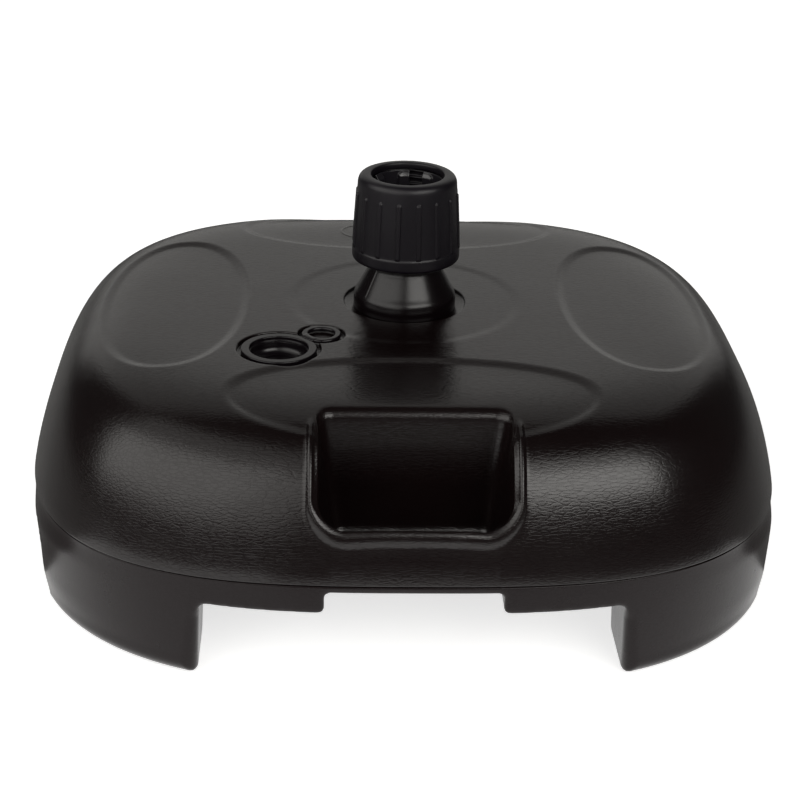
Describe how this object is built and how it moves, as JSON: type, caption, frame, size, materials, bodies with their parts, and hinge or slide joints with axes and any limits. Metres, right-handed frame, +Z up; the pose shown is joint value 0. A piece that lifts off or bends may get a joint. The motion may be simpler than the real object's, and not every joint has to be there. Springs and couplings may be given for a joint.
{
  "type": "parasol base",
  "caption": "Fillable rounded-square parasol base on four corner feet, with a ribbed clamp collar on a central pole tube, a grip pocket and a plug with a pull ring.",
  "frame": {"origin": "centre of the footprint, on the floor", "axes": "+Z up along the pole, -Y towards the grip pocket, +X to the right seen from the pocket's side"},
  "size_m": [0.5008, 0.4804, 0.2555],
  "materials": {
    "tank_top": "blow-moulded black polyethylene with a fine leather grain, semi-gloss",
    "tank_skirt": "blow-moulded black polyethylene, smoother satin",
    "tube_plastic": "injection-moulded black plastic, satin gloss",
    "collar_plastic": "injection-moulded black plastic, satin, slightly cool",
    "plug_plastic": "soft black polyethylene, satin gloss"
  },
  "bodies": {
    "tank": {"tank_upper_shell": "tank_top", "tank_lower_shell": "tank_skirt", "stand_tube": "tube_plastic", "tube_retaining_nut": "tube_plastic"},
    "thrust_ring": {"slip_ring": "tube_plastic"},
    "collar": {"clamp_collar": "collar_plastic"},
    "finger_1": {"collet_finger_1": "tube_plastic"},
    "finger_2": {"collet_finger_2": "tube_plastic"},
    "finger_3": {"collet_finger_3": "tube_plastic"},
    "finger_4": {"collet_finger_4": "tube_plastic"},
    "plug": {"filler_plug": "plug_plastic"},
    "pull_ring": {"plug_pull_ring": "plug_plastic"}
  },
  "joints": [
    {"name": "collar_travel", "type": "slide", "parent": "tank", "child": "thrust_ring", "axis": [0, 0, 1], "range_m": [-0.00722, 0]},
    {"name": "collar_turn", "type": "hinge", "parent": "thrust_ring", "child": "collar", "pos_m": [0, 0, 0.226], "axis": [0, 0, 1], "range_deg": [-540, 0]},
    {"name": "finger_1_flex", "type": "hinge", "parent": "tank", "child": "finger_1", "pos_m": [-0.01048, 0.01991, 0.212], "axis": [0.885, 0.4656, 0], "range_deg": [0, 3.62]},
    {"name": "finger_2_flex", "type": "hinge", "parent": "tank", "child": "finger_2", "pos_m": [-0.01991, -0.01048, 0.212], "axis": [-0.4656, 0.885, 0], "range_deg": [0, 3.62]},
    {"name": "finger_3_flex", "type": "hinge", "parent": "tank", "child": "finger_3", "pos_m": [0.01048, -0.01991, 0.212], "axis": [-0.885, -0.4656, 0], "range_deg": [0, 3.62]},
    {"name": "finger_4_flex", "type": "hinge", "parent": "tank", "child": "finger_4", "pos_m": [0.01991, 0.01048, 0.212], "axis": [0.4656, -0.885, 0], "range_deg": [0, 3.62]},
    {"name": "plug_pull", "type": "slide", "parent": "tank", "child": "plug", "axis": [0, 0, 1], "range_m": [0, 0.03]},
    {"name": "ring_flip", "type": "hinge", "parent": "plug", "child": "pull_ring", "pos_m": [-0.06593, -0.07212, 0.1644], "axis": [0.6727, -0.7399, 0], "range_deg": [0, 95]}
  ],
  "couplings": [
    {"joint": "collar_travel", "follows": "collar_turn", "m_per_rad": 0.00076394},
    {"joint": "finger_1_flex", "follows": "collar_turn", "ratio": -0.0066667},
    {"joint": "finger_2_flex", "follows": "collar_turn", "ratio": -0.0066667},
    {"joint": "finger_3_flex", "follows": "collar_turn", "ratio": -0.0066667},
    {"joint": "finger_4_flex", "follows": "collar_turn", "ratio": -0.0066667}
  ]
}
